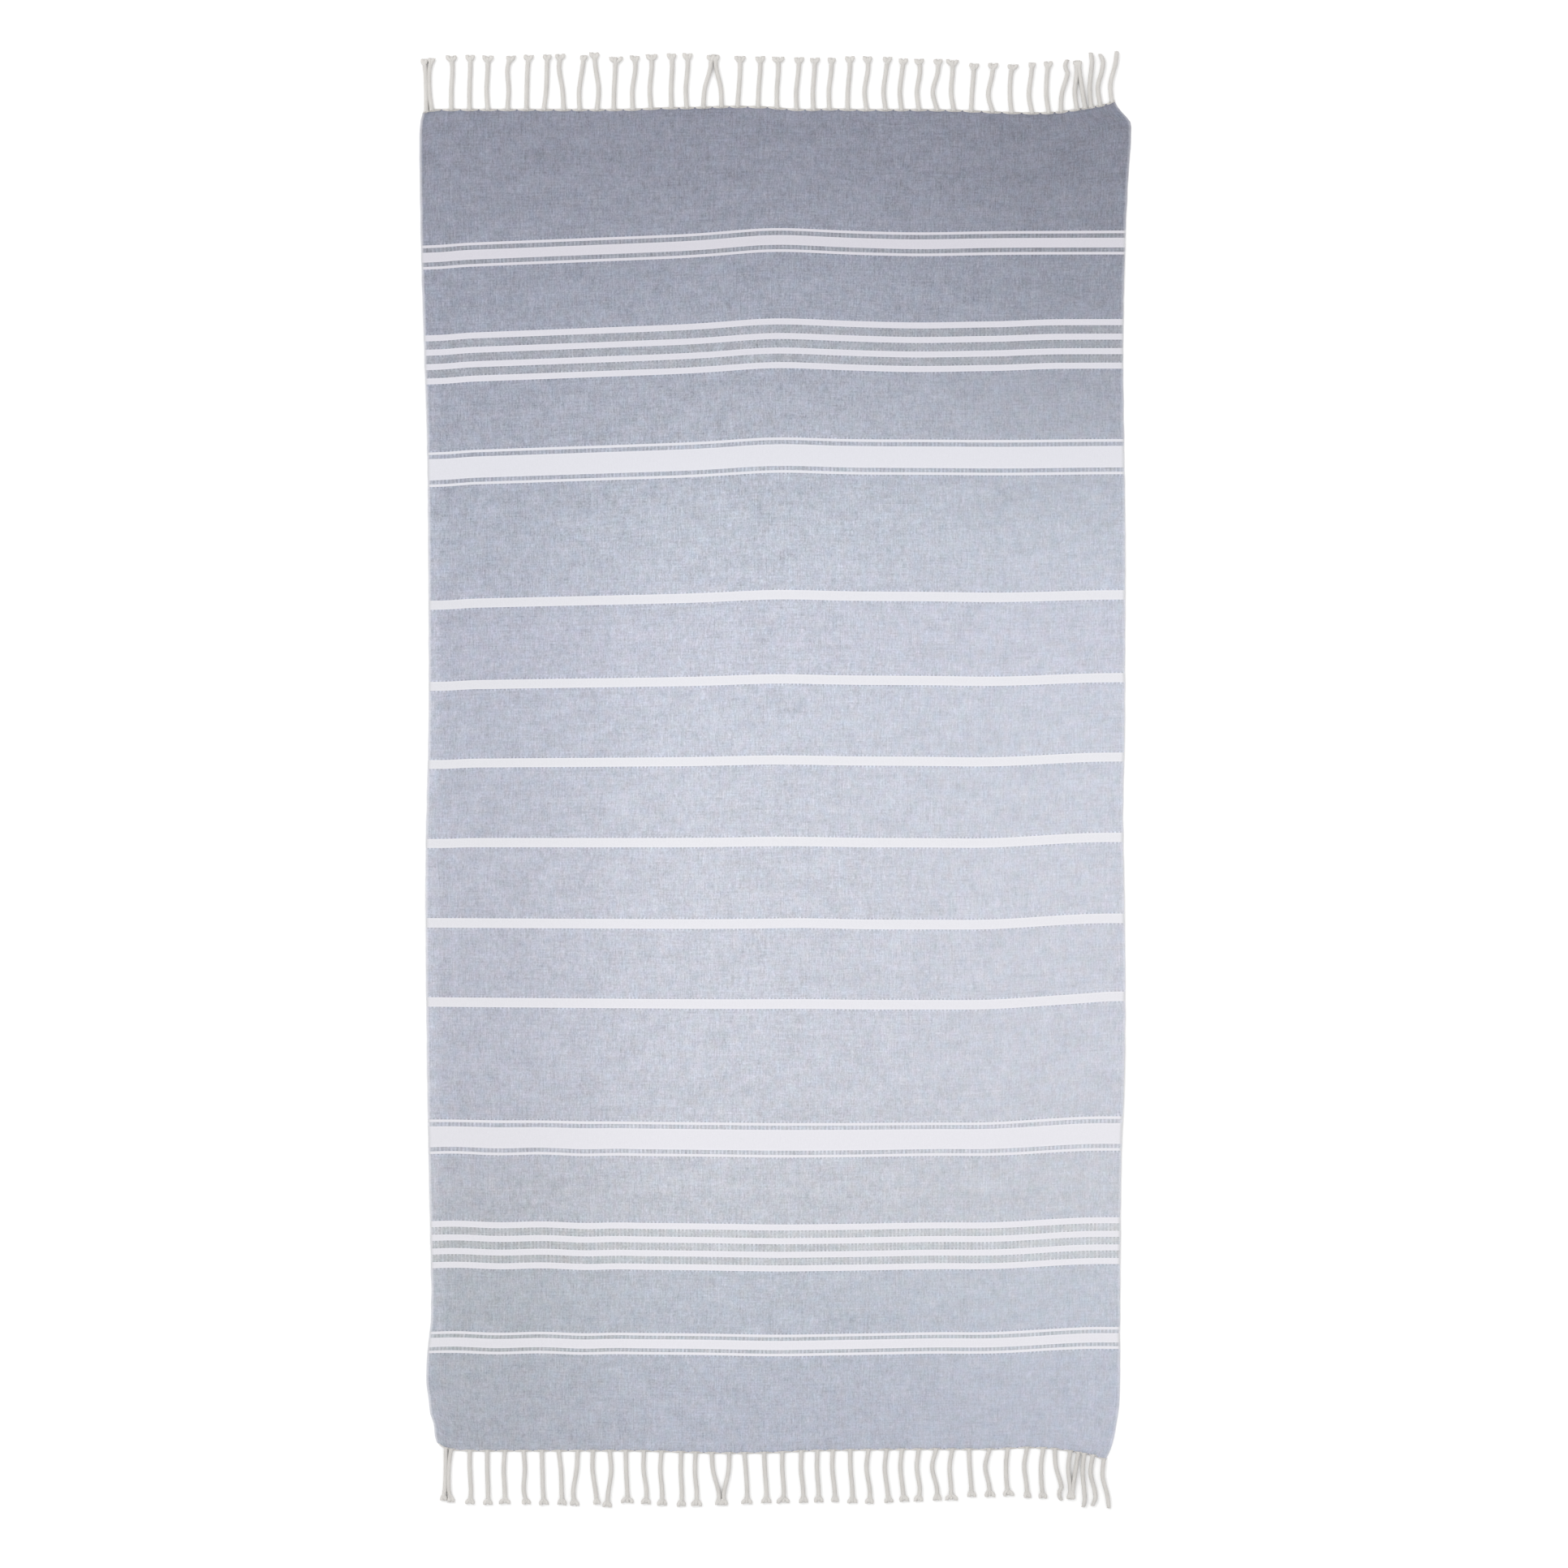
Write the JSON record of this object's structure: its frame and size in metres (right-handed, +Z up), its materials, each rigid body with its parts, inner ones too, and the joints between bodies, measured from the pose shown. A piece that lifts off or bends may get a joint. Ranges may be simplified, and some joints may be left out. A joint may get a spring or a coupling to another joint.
{
  "type": "flat-woven fringed runner rug",
  "caption": "Thin flat-woven cotton runner with white cross stripes on a blue-grey ground and twisted tassels along both short ends, laid flat.",
  "frame": {"origin": "the middle of the laid-flat outline, fringes included, at floor level", "axes": "+Y along the length, towards the end with the longer plain border; +X across the width; +Z up, out of the face that shows"},
  "size_m": [0.9366, 1.918, 0.0056],
  "materials": {
    "ground_weft": "matt plain-woven cotton, blue-grey chambray",
    "stripe_weft": "matt plain-woven cotton, off-white",
    "fringe_yarn": "matt two-ply twisted cotton, natural off-white"
  },
  "bodies": {
    "lower_half": {"ground_07": "ground_weft", "stripe_07": "stripe_weft", "ground_08": "ground_weft", "stripe_08": "stripe_weft", "ground_09": "ground_weft", "stripe_09": "stripe_weft", "ground_10": "ground_weft", "stripe_10_fine_1": "stripe_weft", "stripe_10_ground_1": "ground_weft", "stripe_10_wide": "stripe_weft", "stripe_10_ground_2": "ground_weft", "stripe_10_fine_2": "stripe_weft"},
    "lower_end": {"ground_11": "ground_weft", "stripe_11_line_1": "stripe_weft", "stripe_11_ground_1": "ground_weft", "stripe_11_line_2": "stripe_weft", "stripe_11_ground_2": "ground_weft", "stripe_11_line_3": "stripe_weft", "stripe_11_ground_3": "ground_weft", "stripe_11_line_4": "stripe_weft", "ground_12": "ground_weft", "stripe_12_dotted": "stripe_weft", "ground_13": "ground_weft"},
    "lower_fringe": {"lower_fringe_1": "fringe_yarn", "lower_fringe_2": "fringe_yarn", "lower_fringe_3": "fringe_yarn", "lower_fringe_4": "fringe_yarn", "lower_fringe_5": "fringe_yarn", "lower_fringe_6": "fringe_yarn", "lower_fringe_7": "fringe_yarn"},
    "upper_half": {"ground_03": "ground_weft", "stripe_03_fine_1": "stripe_weft", "stripe_03_ground_1": "ground_weft", "stripe_03_wide": "stripe_weft", "stripe_03_ground_2": "ground_weft", "stripe_03_fine_2": "stripe_weft", "ground_04": "ground_weft", "stripe_04": "stripe_weft", "ground_05": "ground_weft", "stripe_05": "stripe_weft", "ground_06": "ground_weft", "stripe_06": "stripe_weft"},
    "upper_end": {"ground_01": "ground_weft", "stripe_01_dotted": "stripe_weft", "ground_02": "ground_weft", "stripe_02_line_1": "stripe_weft", "stripe_02_ground_1": "ground_weft", "stripe_02_line_2": "stripe_weft", "stripe_02_ground_2": "ground_weft", "stripe_02_line_3": "stripe_weft", "stripe_02_ground_3": "ground_weft", "stripe_02_line_4": "stripe_weft"},
    "upper_fringe": {"upper_fringe_1": "fringe_yarn", "upper_fringe_2": "fringe_yarn", "upper_fringe_3": "fringe_yarn", "upper_fringe_4": "fringe_yarn", "upper_fringe_5": "fringe_yarn", "upper_fringe_6": "fringe_yarn", "upper_fringe_7": "fringe_yarn"}
  },
  "joints": [
    {"name": "middle_fold", "type": "hinge", "parent": "lower_half", "child": "upper_half", "pos_m": [0, 0.0187, 0.0095], "axis": [1, 0, 0], "range_deg": [0, 180]},
    {"name": "upper_end_fold", "type": "hinge", "parent": "upper_half", "child": "upper_end", "pos_m": [0, 0.536, 0.0045], "axis": [1, 0, 0], "range_deg": [0, 180]},
    {"name": "lower_end_fold", "type": "hinge", "parent": "lower_half", "child": "lower_end", "pos_m": [0, -0.4952, 0.0045], "axis": [-1, 0, 0], "range_deg": [0, 180]},
    {"name": "upper_fringe_lift", "type": "hinge", "parent": "upper_end", "child": "upper_fringe", "pos_m": [0, 0.8835, 0.0036], "axis": [-1, 0, 0], "range_deg": [-180, 0]},
    {"name": "lower_fringe_lift", "type": "hinge", "parent": "lower_end", "child": "lower_fringe", "pos_m": [0, -0.8855, 0.0036], "axis": [1, 0, 0], "range_deg": [-180, 0]}
  ]
}
